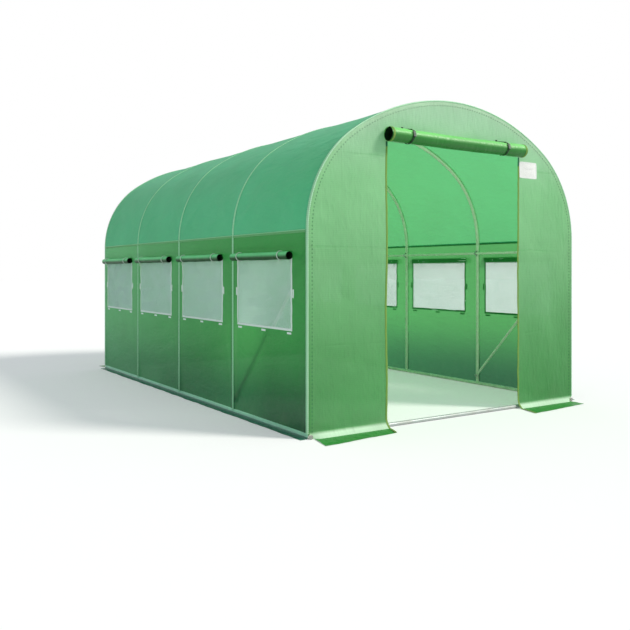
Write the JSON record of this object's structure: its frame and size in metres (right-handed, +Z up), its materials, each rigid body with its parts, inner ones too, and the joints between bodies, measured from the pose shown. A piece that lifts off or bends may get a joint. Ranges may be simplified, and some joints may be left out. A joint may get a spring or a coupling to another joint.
{
  "type": "polytunnel greenhouse",
  "caption": "Walk-in polytunnel greenhouse: hooped tube frame on base rails under a translucent sewn cover with a rolled-up door, rolled-up side windows and a ground skirt.",
  "frame": {"origin": "on the ground under the middle of the footprint, hem of the cover included", "axes": "+X to the right as seen from outside the door, +Y along the tunnel away from the door end, +Z up"},
  "size_m": [2.3622, 3.98, 2.0013],
  "materials": {
    "tube": "galvanised and lacquered, satin",
    "cap": "moulded grey",
    "film_side": "woven polyethylene film, glossy",
    "film_roof": "woven polyethylene film, glossy",
    "film_end": "woven polyethylene film, glossy",
    "film_roll": "woven polyethylene film, rolled",
    "net": "fine insect net",
    "white_tape": "woven tape and hook-and-loop",
    "tie": "elastic cord",
    "welt": "stitched tape",
    "strap": "webbing",
    "binding": "bound edge tape",
    "label": "blank white"
  },
  "bodies": {
    "root": {"base_rail_left": "tube", "base_rail_right": "tube", "base_rail_front": "tube", "base_rail_back": "tube", "rail_end_caps": "cap", "legs_left": "tube", "legs_right": "tube", "side_rail_left": "tube", "side_rail_right": "tube", "ridge_rail": "tube", "braces_left": "tube", "braces_right": "tube", "cover_side_left": "film_side", "cover_side_right": "film_side", "cover_roof": "film_roof", "cover_front_left": "film_end", "cover_front_right": "film_end", "cover_front_top": "film_end", "cover_back": "film_end", "window_nets_left": "net", "window_nets_right": "net", "window_tapes_left": "white_tape", "window_tapes_right": "white_tape", "window_patches_left": "white_tape", "window_patches_right": "white_tape", "window_rolls_left": "film_roll", "window_rolls_right": "film_roll", "window_ties_left": "tie", "window_ties_right": "tie", "hoop_welts": "welt", "shoulder_seams": "welt", "door_roll": "film_roll", "door_straps": "strap", "door_bindings": "binding", "blank_label": "label", "skirt_left": "film_side", "skirt_right": "film_side", "skirt_front_left": "film_side", "skirt_front_right": "film_side", "skirt_back": "film_side", "hoop_arch_1": "tube", "hoop_arch_2": "tube", "hoop_arch_3": "tube", "hoop_arch_4": "tube", "hoop_arch_5": "tube"}
  },
  "joints": []
}
